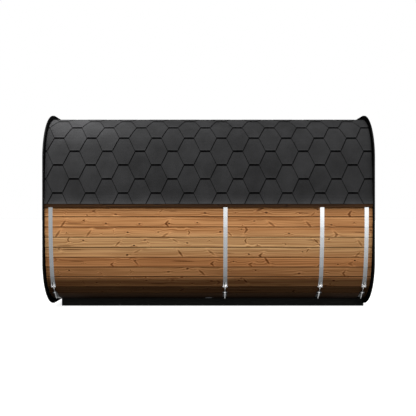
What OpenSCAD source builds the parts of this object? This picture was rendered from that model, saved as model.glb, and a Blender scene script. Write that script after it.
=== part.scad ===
// Cube sauna: a stave shell of rounded-square section between two end rings, held by steel
// straps, roofed with shingles and standing on a low base frame.
// Millimetres. X runs along the building (+X is the porch end), Y across it, Z up.
// The origin is on the ground under the middle of the end rings.

/* [Overall] */
// Length over the end rings
length = 4000; // [3400:50:5200]
// Width and height over the end rings
ring_size = 2414; // [2350:2:2900]
// Outer corner radius of the end rings
ring_corner_r = 593; // [500:1:650]

/* [Shell] */
// Thickness of the staves
stave_t = 42; // [28:1:60]
// Width of one stave
stave_pitch = 123.3; // [100:0.1:150]
// Depth of the V joint between staves
v_joint = 5; // [2:0.5:8]
// Distance of a stave joint below the middle of the side walls
side_joint_drop = 91; // [0:1:120]
// Width of the narrow closing stave in each lower corner
closing_stave_w = 30; // [20:1:60]
// Half the height of the upright middle of a side wall
side_flat = 125; // [0:1:300]
// Radius of the bow from there to the corner
side_bow_r = 3100; // [2000:10:6000]
// Outer corner radius of the shell
shell_corner_r = 487; // [400:1:540]

/* [End rings] */
// Thickness of a ring plate
ring_t = 15; // [8:1:30]
// How far the rim stands out from the staves in the middle of each side
ring_proud = 60; // [45:1:80]
// How far a ring reaches in past the staves' inner faces
ring_lap = 8; // [0:1:20]
// Bevel round the ring's edges
ring_bevel = 2; // [0.5:0.5:4]

/* [Roof covering] */
// Thickness of the shingle layer
shingle_t = 5; // [3:0.5:8]
// Height of the lower shingle edge above the middle of the side walls
eaves_rise = 64; // [0:1:160]
// Height of the lowest course, which is kicked out over the eaves batten
kick_course_h = 129; // [90:1:170]
// Height of the batten that shows under the shingles
batten_reveal = 39; // [30:1:70]
// Thickness of the eaves batten
batten_t = 20; // [12:1:28]

/* [Straps] */
// Width of a strap
strap_w = 50; // [30:1:70]
// Thickness of a strap
strap_t = 1.5; // [1:0.5:3]
// Distance from a ring's outer face to the middle of the strap beside it
end_strap_inset = 86; // [60:1:140]
// Place of the strap between the rooms, from the middle of the building
middle_strap_x = 204; // [-400:1:600]
// Distance from the porch end strap to the strap at the front wall
porch_strap_gap = 538; // [400:1:900]

/* [Tensioners] */
// Radius of a cross pin
pin_r = 9; // [7:0.5:11]
// Radius of a tension bolt
bolt_r = 5; // [3:0.5:6]
// How far the bolt ends stand out past the lower pins
bolt_tail = 125; // [80:1:130]
// Length of the long nut below each lower pin
long_nut_h = 48; // [20:1:60]
// Distance between the two pins of a tensioner, along the staves
pin_gap = 109.5; // [90:0.5:125]
// Width of the gap between the two eyes of a strap end
eye_gap = 22; // [16:1:26]

/* [Base frame] */
// Height of the base frame
base_h = 98; // [70:1:160]
// Thickness of the base timbers
base_timber_t = 45; // [35:1:70]
// Half the width of the base frame
base_half_w = 647; // [550:1:700]
// Distance from the back ring's outer face to the base frame
base_back_inset = 105; // [0:1:200]
// Number of cross bearers
bearer_count = 7; // [5:1:9]

/* [End walls and door] */
// Thickness of the end walls
wall_t = 45; // [30:1:60]
// Clear width of the doorway, between the jambs
door_w = 700; // [600:10:900]
// Clear height of the doorway
door_h = 1850; // [1700:10:1900]
// Height of the wall under the doorway
sill_h = 70; // [50:5:120]
// Face width of the door frame
frame_w = 50; // [40:1:70]
// Depth of the door frame through the wall
frame_d = 75; // [65:1:100]
// Width and depth of the rebate that the glass closes into
rebate = 12; // [10:1:20]
// Thickness of the door glass
glass_t = 8; // [6:1:10]

/* [Hidden] */
$fn = 64;
fit = 0.3;                 // clearance of pieces that slide or drop in
cut = 1;                   // how far a cutting box runs on past what it cuts
axis_z = base_h + ring_size / 2 - ring_proud;
half_len = length / 2;
stave_end = half_len - ring_t;
ring_half = ring_size / 2;
ring_flat = ring_half - ring_corner_r;
shell_half = ring_half - ring_proud;
// Lean of the staves, and girth, where the bow of a side meets the corner
bow_turn = asin((shell_half - side_flat - shell_corner_r) / (side_bow_r - shell_corner_r));
bow_end = side_flat + side_bow_r * bow_turn * PI / 180;
// Half the level width of the floor and the roof, and the girth at which they turn level
level_half = shell_half - side_bow_r + (side_bow_r - shell_corner_r) * cos(bow_turn);
level_girth = bow_end + shell_corner_r * (90 - bow_turn) * PI / 180;
corner_z = shell_half - shell_corner_r;

back_strap_x = end_strap_inset - half_len;
porch_strap_x = half_len - end_strap_inset;
wall_strap_x = porch_strap_x - porch_strap_gap;
strap_places = [back_strap_x, middle_strap_x, wall_strap_x, porch_strap_x];

// ---- The outline of the shell ----------------------------------------------------------
// A point [y, z] of the near half of the outline, relative to the rings' centre. A side is
// upright in the middle and bows in towards the corners; the floor and the roof are level.
// The girth s is measured along the outer face from the middle of the near side, positive
// downwards and negative upwards. The point lies "inset" inside the outer face.
function outline(s, inset = 0) =
    let (a = abs(s), up = s < 0 ? 1 : -1,
         lean = (a - side_flat) / side_bow_r * 180 / PI, bow_r = side_bow_r - inset,
         turn = bow_turn + (a - bow_end) / shell_corner_r * 180 / PI,
         r = shell_corner_r - inset)
    a <= side_flat ? [inset - shell_half, up * a]
    : a <= bow_end ? [side_bow_r - shell_half - bow_r * cos(lean),
                      up * (side_flat + bow_r * sin(lean))]
    : turn <= 90 ? [-level_half - r * cos(turn), up * (corner_z + r * sin(turn))]
    : [a - level_girth - level_half, up * (shell_half - inset)];

function unit(v) = v / norm(v);
function flipped(points) = [for (i = [len(points) - 1 : -1 : 0]) points[i]];
function mirrored(points) = [for (p = flipped(points)) [-p.x, p.y]];

// Girths of the stave joints
lowest_side = floor((ring_flat - side_joint_drop) / stave_pitch);
highest_side = -floor((ring_flat + side_joint_drop) / stave_pitch);
side_joints = [for (i = [highest_side : lowest_side]) side_joint_drop + i * stave_pitch];
low_start = side_joints[len(side_joints) - 1];
closing_end = low_start + 2 * stave_pitch + closing_stave_w;
low_count = ceil((level_girth - closing_end) / stave_pitch);
lower_joints = concat([for (i = [0:2]) low_start + i * stave_pitch],
    [for (i = [0:low_count]) closing_end + i * stave_pitch]);
high_start = side_joints[0];
high_count = ceil((level_girth + high_start) / stave_pitch);
upper_joints = [for (i = [high_count : -1 : 0]) high_start - i * stave_pitch];
near_joints = concat(upper_joints,
    [for (i = [1 : len(side_joints) - 2]) side_joints[i]], lower_joints);

// The floor's or the roof's joints, evenly spaced between two like corner joints
middle_girth = level_girth + level_half;
function level_joints(corner_joint) =
    let (span = 2 * (middle_girth - abs(corner_joint)),
         count = ceil(span / stave_pitch), way = sign(corner_joint))
    [for (i = [0:count]) way * (abs(corner_joint) + i * span / count)];
floor_joints = level_joints(lower_joints[len(lower_joints) - 1]);
roof_joints = level_joints(upper_joints[0]);

// ---- Staves ----------------------------------------------------------------------------
// One face of a row of staves, with a V at each joint; "back" is the other face's joints
function v_face(face, back) = [for (i = [0 : len(face) - 1]) each concat(
    i > 0 ? [face[i] + v_joint * unit(face[i - 1] - face[i])] : [],
    [face[i] + v_joint * unit(back[i] - face[i])],
    i < len(face) - 1 ? [face[i] + v_joint * unit(face[i + 1] - face[i])] : [])];

module along_x(from, to) {
    translate([from, 0, axis_z]) rotate([90, 0, 90]) linear_extrude(height = to - from) children();
}

module staves(joints) {
    outer = [for (s = joints) outline(s)];
    inner = [for (s = joints) outline(s, stave_t)];
    color("#ac7d52") along_x(-stave_end, stave_end)
        polygon(concat(v_face(outer, inner), v_face(flipped(inner), flipped(outer))));
}

module far_side() {
    mirror([0, 1, 0]) children();
}

module staves_floor() staves(floor_joints);
module staves_roof() staves(roof_joints);
module staves_near_side() staves(side_joints);
module staves_far_side() far_side() staves(side_joints);
module staves_near_lower_corner() staves(lower_joints);
module staves_far_lower_corner() far_side() staves(lower_joints);
module staves_near_upper_corner() staves(upper_joints);
module staves_far_upper_corner() far_side() staves(upper_joints);

// ---- End rings -------------------------------------------------------------------------
// Section of the rim: x outwards, y through the plate's thickness
module rim_section() {
    b = ring_bevel;
    polygon([[0, 0], [ring_proud - b, 0], [ring_proud, b],
        [ring_proud, ring_t - b], [ring_proud - b, ring_t], [0, ring_t]]);
}

module rim_quarter() {
    translate([ring_flat, ring_flat]) rotate_extrude(angle = 90)
        translate([ring_corner_r - ring_proud, 0]) rim_section();
    translate([ring_half - ring_proud, ring_flat]) rotate([90, 0, 0])
        linear_extrude(height = 2 * ring_flat) rim_section();
}

// Points round a corner of the plate, halfway through the rim, for corner 0 to 3
function mid_rim(corner) = [for (i = [0:4]) let (a = 90 * corner + 22.5 * i, b = 90 * corner + 45)
    ring_flat * sqrt(2) * [cos(b), sin(b)]
        + (ring_corner_r - ring_proud / 2) * [cos(a), sin(a)]];

// The inner edge of the plate follows the inner faces of the staves
module end_ring(x) {
    inner = [for (s = near_joints) outline(s, stave_t + ring_lap)];
    color("#141414") {
        translate([x, 0, axis_z]) rotate([90, 0, 90]) for (i = [0:3]) rotate(90 * i)
            rim_quarter();
        along_x(x, x + ring_t) difference() {
            polygon([for (corner = [0:3]) each mid_rim(corner)]);
            polygon(concat(inner, mirrored(inner)));
        }
    }
}

module end_ring_front() end_ring(stave_end);
module end_ring_back() end_ring(-half_len);

// ---- End walls -------------------------------------------------------------------------
wall_inset = stave_t + fit;
wall_half = shell_half - wall_inset;
front_wall_x = wall_strap_x - wall_t / 2;
back_wall_x = back_strap_x - wall_t / 2;
door_low = axis_z - shell_half + stave_t + sill_h + frame_w;
door_high = door_low + door_h;
opening_half = door_w / 2 + frame_w;

// The wall's edge follows the inner faces of the staves
module wall_outline() {
    near = [for (s = near_joints) outline(s, wall_inset)];
    polygon(concat(near, mirrored(near)));
}

module board_wall(x) {
    v_side = v_joint * sqrt(2);
    joint_count = floor(wall_half / stave_pitch);
    color("#ac7d52") difference() {
        along_x(x, x + wall_t) wall_outline();
        for (i = [-joint_count : joint_count + 1], face = [x, x + wall_t])
            translate([face, 0, axis_z - side_joint_drop + i * stave_pitch]) rotate([0, 45, 0])
                cube([v_side, ring_size, v_side], center = true);
    }
}

// What is left of the front wall between two heights and two widths
module front_wall_piece(y, z) {
    intersection() {
        board_wall(front_wall_x);
        translate([front_wall_x - cut, y[0], z[0]])
            cube([wall_t + 2 * cut, y[1] - y[0], z[1] - z[0]]);
    }
}

module back_wall() board_wall(back_wall_x);
module front_wall_near() front_wall_piece([-ring_half, -opening_half], [0, 2 * axis_z]);
module front_wall_far() front_wall_piece([opening_half, ring_half], [0, 2 * axis_z]);
module front_wall_head()
    front_wall_piece([-opening_half, opening_half], [door_high + frame_w, 2 * axis_z]);
module front_wall_sill() front_wall_piece([-opening_half, opening_half], [0, door_low - frame_w]);

// ---- Door ------------------------------------------------------------------------------
frame_x = wall_strap_x - frame_d / 2;
rebate_x = frame_x + frame_d - rebate;
glass_x = rebate_x + fit;
glass_gap = 3;
glass_half = door_w / 2 + rebate - glass_gap;
glass_low = door_low + glass_gap;
glass_high = door_high + rebate - glass_gap;

// Section of a frame member: x is the distance from the wall's opening, y is the depth
module frame_section() {
    polygon([[0, 0], [frame_w, 0], [frame_w, frame_d - rebate],
        [frame_w - rebate, frame_d - rebate], [frame_w - rebate, frame_d], [0, frame_d]]);
}

// A jamb that stands at y = 0 and faces +Y
module jamb() {
    color("#8a6240") translate([frame_x, 0, door_low]) linear_extrude(height = door_h)
        mirror([1, -1]) frame_section();
}

module door_jamb_hinge_side() translate([0, -opening_half, 0]) jamb();
module door_jamb_handle_side() far_side() translate([0, -opening_half, 0]) jamb();

module door_head() {
    color("#8a6240") translate([frame_x, -opening_half, door_high + frame_w])
        rotate([-90, 0, 0]) linear_extrude(height = 2 * opening_half)
        mirror([1, -1]) frame_section();
}

module door_threshold() {
    color("#8a6240") translate([frame_x, -opening_half, door_low - frame_w])
        cube([frame_d, 2 * opening_half, frame_w]);
}

module door_glass() {
    color("#2b3033") translate([glass_x, -glass_half, glass_low])
        cube([glass_t, 2 * glass_half, glass_high - glass_low]);
}

hinge_h = 70;
hinge_inset = 200;         // from the upper and lower edges of the glass to the hinges
hinge_clamp_w = 58;
hinge_plate_w = 28;
hinge_plate_t = 4;
knuckle_r = 7;
jamb_face_x = frame_x + frame_d;

// A clamp plate on the glass, a knuckle at its edge and a plate on the jamb's face
module hinge() {
    knuckle_y = -door_w / 2 - rebate;
    clamp_x = glass_x + glass_t;
    translate([clamp_x, knuckle_y + cut, 0])
        cube([jamb_face_x + knuckle_r / 3 - clamp_x, hinge_clamp_w, hinge_h]);
    translate([jamb_face_x + knuckle_r, knuckle_y, 0]) cylinder(r = knuckle_r, h = hinge_h);
    translate([jamb_face_x, knuckle_y - hinge_plate_w, 0])
        cube([hinge_plate_t, hinge_plate_w, hinge_h]);
}

module door_hinges() {
    color("#8d8f91") for (z = [glass_low + hinge_inset, glass_high - hinge_inset - hinge_h])
        translate([0, 0, z]) hinge();
}

handle_h = 420;
handle_r = 14;
handle_stand = 55;
handle_edge_inset = 90;    // from the free edge of the glass to the bar
handle_z = door_low + 820;
post_r = 8;
post_inset = 60;           // from the bar's ends to its posts

// A round bar on two posts, on the outer face of the glass and on its inner face
module handle_half() {
    translate([handle_stand, 0, 0]) cylinder(r = handle_r, h = handle_h);
    for (z = [post_inset, handle_h - post_inset]) translate([0, 0, z]) rotate([0, 90, 0])
        cylinder(r = post_r, h = handle_stand);
}

module door_handle() {
    color("#8a6240") translate([glass_x, glass_half - handle_edge_inset, handle_z]) {
        translate([glass_t, 0, 0]) handle_half();
        mirror([1, 0, 0]) handle_half();
    }
}

// ---- Roof covering ---------------------------------------------------------------------
kick = strap_t + batten_t;
kick_steps = 6;
kick_step_h = kick_course_h / kick_steps;
// Height and stand-off of the kicked-out course, from its top down to the eaves
function kick_point(i, off = 0) =
    [-shell_half - off - kick * pow(i / kick_steps, 2),
        eaves_rise + kick_course_h - i * kick_step_h];

module shingle_skin() {
    color("#303132") along_x(-stave_end, stave_end) children();
}

// The near half of the shell, up to the outer faces of the staves
module near_half() {
    polygon(concat([for (s = near_joints) outline(s)], [[0, -shell_half], [0, shell_half]]));
}

module shingle_side() {
    kick_top = kick_point(0);
    bow = [for (s = near_joints) if (s > -bow_end && s < -kick_top.y) outline(s, -shingle_t)];
    shingle_skin() difference() {
        polygon(concat([outline(-bow_end, -shingle_t)], bow,
            [for (i = [0:kick_steps]) kick_point(i, shingle_t)],
            [for (i = [kick_steps : -1 : 0]) kick_point(i)],
            [kick_top + [stave_t / 2, 0], outline(-bow_end, stave_t / 2)]));
        near_half();
    }
}

// Round outside, and following the staves inside
module shingle_corner() {
    reach = 2 * shell_corner_r;
    shingle_skin() difference() {
        translate([-level_half, corner_z]) intersection() {
            circle(r = shell_corner_r + shingle_t, $fn = 360);
            polygon([[0, 0], reach * [-cos(bow_turn), sin(bow_turn)], [-reach, reach],
                [0, reach]]);
        }
        near_half();
    }
}

module shingles_near_side() shingle_side();
module shingles_far_side() far_side() shingle_side();
module shingles_near_corner() shingle_corner();
module shingles_far_corner() far_side() shingle_corner();
module shingles_roof() {
    shingle_skin() translate([-level_half, shell_half]) square([2 * level_half, shingle_t]);
}

// The batten bears on the straps, and its bevelled top carries the lowest shingles
module eaves_batten() {
    low = eaves_rise - batten_reveal;
    seat = -shell_half - strap_t;
    top = kick_point(kick_steps - 1);
    color("#4a3423") along_x(-stave_end, stave_end)
        polygon([[seat, low], [seat - batten_t, low], kick_point(kick_steps), top, [seat, top.y]]);
}

module eaves_batten_near() eaves_batten();
module eaves_batten_far() far_side() eaves_batten();

// ---- Straps ----------------------------------------------------------------------------
// The staves' outer faces as straight chords, from the roof to the middle of the floor
chord_ends = concat(near_joints, [middle_girth]);
chord_y = [for (s = chord_ends) [s, outline(s).x]];
chord_z = [for (s = chord_ends) [s, outline(s).y]];
function chord(s) = [lookup(s, chord_y), lookup(s, chord_z)];
function chord_dir(s) = unit(chord(s + 1) - chord(s - 1));
function chord_out(s) = [chord_dir(s).y, -chord_dir(s).x];
// A point "off" outside the face at girth s, and the line that runs there from a to b
function off_face(s, off) = chord(s) + off * chord_out(s);
function line_outside(a, b, off) = concat([off_face(a, off)],
    [for (s = near_joints) if (s > a && s < b) outline(s, -off)], [off_face(b, off)]);

eye_in = pin_r + fit;
eye_lift = 4;              // the band stops here, short of the pin, where it lifts into the eye
eye_out = eye_in + strap_t;
// The pins sit either side of the joint after the stave below the closing stave
turn_joint = closing_end + stave_pitch;
pin_lead = 12;             // from the upper pin to that joint
upper_pin_s = turn_joint - pin_lead;
lower_pin_s = upper_pin_s + pin_gap;
fold_run = 60;             // from a pin to where its fold lies on the band again
fold_tail = 45;            // length of the fold's end that lies on the band
fold_lap = 2;              // how far the slope and the end run into each other
function pin_centre(s) = off_face(s, eye_out);
bolt_dir = unit(pin_centre(lower_pin_s) - pin_centre(upper_pin_s));

// Where a line from b touches a circle, on the outer side; way is the side that b lies on
function touch(b, c, r, way) =
    let (v = c - b, turn = atan2(v.y, v.x) + way * asin(r / norm(v)))
    b + sqrt(v * v - r * r) * [cos(turn), sin(turn)];

module circle_at(c, r) {
    translate(c) circle(r = r);
}

// The strap end folded back round a pin; way is -1 if it folds upwards and 1 if downwards
module fold_slope(s, way) {
    c = pin_centre(s);
    b = off_face(s + way * fold_run, strap_t);
    t = touch(b, c, eye_in + fit / 3, way);
    out = strap_t * unit(t - c);
    difference() {
        union() {
            circle_at(c, eye_out);
            polygon([b, t, t + out, b + out]);
        }
        circle_at(c, eye_in);
    }
}

module fold_end(s, way) {
    ends = [s + way * (fold_run - fold_lap), s + way * (fold_run + fold_tail)];
    polygon(concat(line_outside(min(ends), max(ends), strap_t / 2),
        flipped(line_outside(min(ends), max(ends), 2 * strap_t))));
}

module across_strap(x, w) {
    along_x(x - w / 2, x + w / 2) children();
}

module strap_end(x, s, way) {
    ear = (strap_w - eye_gap) / 2;
    across_strap(x, strap_w) fold_end(s, way);
    for (i = [-1, 1]) across_strap(x + i * (eye_gap + ear) / 2, ear) fold_slope(s, way);
}

// The band from under the eaves batten down to the upper pin
module side_band(x) {
    top = -eaves_rise - kick_step_h;
    end = upper_pin_s - eye_lift;
    across_strap(x, strap_w)
        polygon(concat(line_outside(top, end, 0), flipped(line_outside(top, end, strap_t))));
    strap_end(x, upper_pin_s, -1);
}

// The band from one lower pin, under the floor, to the other
module under_band(x) {
    start = lower_pin_s + eye_lift;
    level = floor_joints[0] + 1;
    near = line_outside(start, level, 0);
    out = line_outside(start, level, strap_t);
    across_strap(x, strap_w)
        polygon(concat(near, mirrored(near), flipped(concat(out, mirrored(out)))));
    strap_end(x, lower_pin_s, 1);
    far_side() strap_end(x, lower_pin_s, 1);
}

module strap(x) {
    color("#c9cbcc") {
        side_band(x);
        far_side() side_band(x);
        under_band(x);
    }
}

module strap_back() strap(back_strap_x);
module strap_middle() strap(middle_strap_x);
module strap_front_wall() strap(wall_strap_x);
module strap_porch() strap(porch_strap_x);

// ---- Tensioners ------------------------------------------------------------------------
bolt_turn = atan2(bolt_dir.y, bolt_dir.x);
nut_r = 9.8;
nut_h = 8;
washer_r = 9.2;
washer_t = 2;
bolt_lead = 2;             // how far a bolt stands out of its upper nut
pin_bevel = 1.5;
pin_overhang = 3;          // how far a pin stands out of its eyes

// Puts what lies along +Z onto the bolt's line, starting at the pin at girth s
module on_bolt(x, s) {
    c = pin_centre(s);
    translate([x, c.x, axis_z + c.y]) rotate([bolt_turn, 0, 0]) rotate([-90, 0, 0]) children();
}

// A round bar with bevelled ends and a cross hole for the bolt
module cross_pin() {
    half = strap_w / 2 + pin_overhang;
    difference() {
        rotate([0, 90, 0]) rotate_extrude() polygon([[0, -half], [pin_r - pin_bevel, -half],
            [pin_r, pin_bevel - half], [pin_r, half - pin_bevel],
            [pin_r - pin_bevel, half], [0, half]]);
        cylinder(r = bolt_r + fit / 2, h = 4 * pin_r, center = true);
    }
}

module cross_pins() {
    color("#b9bbbd") for (x = strap_places, s = [upper_pin_s, lower_pin_s]) on_bolt(x, s)
        cross_pin();
}

// A washer and a nut whose lower face is at height 0
module nut(h) {
    cylinder(r = washer_r, h = washer_t);
    cylinder(r = nut_r, h = washer_t + h, $fn = 6);
}

module tension_bolts() {
    span = norm(pin_centre(lower_pin_s) - pin_centre(upper_pin_s));
    head = pin_r + washer_t + nut_h + bolt_lead;
    color("#d6d8d9") for (x = strap_places) on_bolt(x, upper_pin_s) {
        translate([0, 0, -head]) cylinder(r = bolt_r, h = head + span + bolt_tail);
        translate([0, 0, -pin_r]) mirror([0, 0, 1]) nut(nut_h);
        translate([0, 0, span + pin_r]) nut(long_nut_h);
    }
}

module cross_pins_near() cross_pins();
module cross_pins_far() far_side() cross_pins();
module tension_bolts_near() tension_bolts();
module tension_bolts_far() far_side() tension_bolts();

// ---- Base frame ------------------------------------------------------------------------
base_back = base_back_inset - half_len;
base_len = half_len - base_back;
strap_way_gap = 2;         // room beside a strap where it passes over the base

// Room for the straps that pass under the floor
module strap_ways() {
    for (x = strap_places)
        translate([x - strap_w / 2 - strap_way_gap, -ring_half, base_h - strap_t - fit])
        cube([strap_w + 2 * strap_way_gap, ring_size, strap_t + 2 * fit]);
}

// The seat of the front ring, which stands on the ends of the base timbers
module ring_seat() {
    translate([stave_end, -ring_half, base_h - ring_proud]) cube([ring_size, ring_size, ring_size]);
}

module base_beam() {
    color("#121212") difference() {
        translate([base_back, -base_half_w, 0]) cube([base_len, base_timber_t, base_h]);
        strap_ways();
        ring_seat();
    }
}

module base_beam_near() base_beam();
module base_beam_far() far_side() base_beam();

module base_bearers() {
    bearer_half = base_half_w - base_timber_t;
    pitch = (base_len - base_timber_t) / (bearer_count - 1);
    color("#121212") difference() {
        for (i = [0 : bearer_count - 1]) translate([base_back + i * pitch, -bearer_half, 0])
            cube([base_timber_t, 2 * bearer_half, base_h]);
        strap_ways();
        ring_seat();
    }
}

// Steel plates that fix the middle of the base to the lowest corner stave
plate_w = 80;
plate_t = 3;
plate_run = 52;
plate_edge_gap = 8;        // from the plate to the stave's edge
module fixing_plate() {
    s = lower_joints[len(lower_joints) - 2] - plate_run / 2 - plate_edge_gap;
    along_x(-plate_w / 2, plate_w / 2)
        polygon([chord(s - plate_run / 2), chord(s + plate_run / 2),
            off_face(s + plate_run / 2, plate_t), off_face(s - plate_run / 2, plate_t)]);
}

module base_fixing_plates() {
    color("#6f7274") {
        fixing_plate();
        far_side() fixing_plate();
    }
}

staves_floor();
staves_roof();
staves_near_side();
staves_far_side();
staves_near_lower_corner();
staves_far_lower_corner();
staves_near_upper_corner();
staves_far_upper_corner();
end_ring_front();
end_ring_back();
back_wall();
front_wall_near();
front_wall_far();
front_wall_head();
front_wall_sill();
door_jamb_hinge_side();
door_jamb_handle_side();
door_head();
door_threshold();
door_glass();
door_hinges();
door_handle();
eaves_batten_near();
eaves_batten_far();
shingles_near_side();
shingles_near_corner();
shingles_roof();
shingles_far_corner();
shingles_far_side();
strap_back();
strap_middle();
strap_front_wall();
strap_porch();
cross_pins_near();
cross_pins_far();
tension_bolts_near();
tension_bolts_far();
base_beam_near();
base_beam_far();
base_bearers();
base_fixing_plates();
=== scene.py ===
"""Looks of a cube sauna: a shell of thermally treated staves between two black end rings, held
by steel straps, covered with hexagonal shingles and standing on a black base frame.

Metres, in the frame of the CAD model: X runs along the building, the porch is at +X, Z is up.
"""
import math

import bpy
import numpy as np
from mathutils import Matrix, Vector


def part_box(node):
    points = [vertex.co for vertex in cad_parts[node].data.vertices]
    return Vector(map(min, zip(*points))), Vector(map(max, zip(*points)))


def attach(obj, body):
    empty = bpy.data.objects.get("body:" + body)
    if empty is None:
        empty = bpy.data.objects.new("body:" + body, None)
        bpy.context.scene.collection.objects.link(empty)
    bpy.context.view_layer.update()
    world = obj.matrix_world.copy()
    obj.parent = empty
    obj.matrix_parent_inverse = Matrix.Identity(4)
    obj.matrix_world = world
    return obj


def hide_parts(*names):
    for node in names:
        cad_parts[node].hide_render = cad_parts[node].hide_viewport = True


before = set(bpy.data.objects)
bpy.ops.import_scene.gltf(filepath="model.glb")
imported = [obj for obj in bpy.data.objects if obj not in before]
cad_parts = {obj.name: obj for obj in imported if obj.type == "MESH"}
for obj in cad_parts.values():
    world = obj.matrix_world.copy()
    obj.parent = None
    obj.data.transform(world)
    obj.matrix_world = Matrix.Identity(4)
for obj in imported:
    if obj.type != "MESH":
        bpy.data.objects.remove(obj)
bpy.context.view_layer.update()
BODY = "root"


# ---- Sizes, from the frame -----------------------------------------------------------------
def corners(node):
    """Lowest and highest corner of a CAD node."""
    low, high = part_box(node)
    return np.array(low), np.array(high)


RING_LOW, RING_HIGH = corners("end_ring_front")
SHELL_LOW, SHELL_HIGH = corners("staves_near_side")
MIDDLE_Z = (RING_LOW[2] + RING_HIGH[2]) / 2
RING_FACE = RING_HIGH[0]                       # outer face of the front ring
STAVE_END = SHELL_HIGH[0]
SHELL_HALF = -SHELL_LOW[1]
LEVEL_HALF = corners("shingles_roof")[1][1]    # half the level part of the floor or the roof
SIDE_FLAT = 0.125                              # half the upright part of a side
BOW_R = 3.100                                  # radius of a side from there to the corner
CORNER_R = 0.487
CORNER_Z = SHELL_HALF - CORNER_R
BOW_TURN = math.asin((CORNER_Z - SIDE_FLAT) / (BOW_R - CORNER_R))
BOW_END = SIDE_FLAT + BOW_R * BOW_TURN         # girth from the middle of a side to its corner
LEVEL_GIRTH = BOW_END + CORNER_R * (math.pi / 2 - BOW_TURN)
MIDDLE_GIRTH = LEVEL_GIRTH + LEVEL_HALF
EAVE_UP = corners("shingles_near_side")[0][2] - MIDDLE_Z
KICK = -corners("eaves_batten_near")[0][1] - SHELL_HALF   # how far the eave is kicked out
KICK_H = 0.129

STAVE_W = 0.1233
JOINT_DROP = 0.0925                            # a joint's distance below the middle of the side
CLOSING_GIRTH = 0.8458                         # middle of the narrow closing stave
CLOSING_W = 0.030
TIGHT_JOINT_Z = 0.389                          # height of the joint below the closing stave
FLOOR_STAVES = 10
ROOF_STAVES = 9
FLOOR_STAVE_W = 2 * corners("staves_floor")[1][1] / FLOOR_STAVES
ROOF_STAVE_W = 2 * corners("staves_roof")[1][1] / ROOF_STAVES


# ---- Shader maths --------------------------------------------------------------------------
class Wire:
    """An output socket that can be reckoned with: an expression on it adds its Math nodes."""

    def __init__(self, finish, socket):
        self.finish = finish
        self.socket = socket

    def of(self, operation, *others):
        """A Math operation on this wire, by its name."""
        return self.finish.maths(operation, self, *others)

    def clamp(self, low, high):
        return self.of("MAXIMUM", low).of("MINIMUM", high)

    def other(self, name):
        """Another output of the same node."""
        return Wire(self.finish, self.socket.node.outputs[name])

    def parts(self):
        """The three numbers of a vector or a colour."""
        first = self.finish.node("SeparateXYZ", inputs=(self,))
        return first, first.other("Y"), first.other("Z")

    def __add__(self, other):
        return self.of("ADD", other)

    def __sub__(self, other):
        return self.of("SUBTRACT", other)

    def __rsub__(self, other):
        return self.finish.maths("SUBTRACT", other, self)

    def __mul__(self, other):
        return self.of("MULTIPLY", other)

    def __truediv__(self, other):
        return self.of("DIVIDE", other)

    def __rtruediv__(self, other):
        return self.finish.maths("DIVIDE", other, self)

    def __gt__(self, other):
        return self.of("GREATER_THAN", other)

    def __lt__(self, other):
        return self.of("LESS_THAN", other)

    def __abs__(self):
        return self.of("ABSOLUTE")

    __radd__ = __add__
    __rmul__ = __mul__


class Finish:
    """A material: one Principled shader and the formulas that feed it."""

    def __init__(self, name, constants):
        self.material = bpy.data.materials.new(name)
        self.material.use_nodes = True
        self.tree = self.material.node_tree
        self.shader = self.tree.nodes["Principled BSDF"]
        self.feed(constants)

    def feed(self, values):
        """Sets or links the shader's sockets, by name."""
        for name, value in values.items():
            self.plug(self.shader.inputs[name], value)

    def plug(self, socket, value):
        """Links a wire to a socket, or sets the socket to a constant."""
        if isinstance(value, Wire):
            self.tree.links.new(value.socket, socket)
        else:
            socket.default_value = value

    def add(self, kind, settings=None, inputs=()):
        """Adds a node: its settings first, then its inputs by name or in order."""
        new = self.tree.nodes.new("ShaderNode" + kind)
        for name, value in (settings or {}).items():
            setattr(new, name, value)
        pairs = inputs.items() if isinstance(inputs, dict) else enumerate(inputs)
        for key, value in pairs:
            self.plug(new.inputs[key], value)
        return new

    def node(self, kind, settings=None, inputs=(), out=0):
        """Adds a node and gives one of its outputs."""
        return Wire(self, self.add(kind, settings, inputs).outputs[out])

    def maths(self, operation, *values):
        """A Math node on numbers and wires."""
        return self.node("Math", {"operation": operation}, values)

    def vector(self, x, y, z):
        """Three numbers as one vector."""
        return self.node("CombineXYZ", inputs=(x, y, z))

    def place(self):
        """Object coordinates, in metres, as three numbers."""
        return self.node("TexCoord", out="Object").parts()

    def noise(self, x, y, z, detail=2.0, roughness=0.5):
        """Cloudy noise around 0.5, with features one unit of its coordinates wide."""
        sockets = {"Vector": self.vector(x, y, z), "Scale": 1.0, "Detail": detail,
                   "Roughness": roughness}
        return self.node("TexNoise", inputs=sockets)

    def luck(self, number):
        """Three random numbers from 0 to 1 for each whole number."""
        drawn = self.node("TexWhiteNoise", {"noise_dimensions": "1D"}, {"W": number}, "Color")
        return drawn.parts()

    def ease(self, value, start, end, low=0.0, high=1.0):
        """A smooth step from low to high as the value goes from start to end."""
        sockets = (value, start, end, low, high)
        return self.node("MapRange", {"interpolation_type": "SMOOTHSTEP"}, sockets)

    def blend(self, factor, first, second):
        """The first colour at a factor of 0 and the second at 1."""
        sockets = {0: factor, 6: first, 7: second}
        return self.node("Mix", {"data_type": "RGBA"}, sockets, 2)

    def scaled(self, colour, factor):
        """A colour made lighter or darker."""
        sockets = {0: colour, "Scale": factor}
        return self.node("VectorMath", {"operation": "SCALE"}, sockets)

    def tinted(self, colour, tint):
        """A colour times a tint, for red, green and blue by themselves."""
        return self.node("VectorMath", {"operation": "MULTIPLY"}, (colour, tint))

    def relief(self, height, depth):
        """Feeds the normal with a bump whose full height is "depth" metres."""
        sockets = {"Height": height, "Distance": depth, "Strength": 1.0}
        self.feed({"Normal": self.node("Bump", inputs=sockets)})


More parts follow.
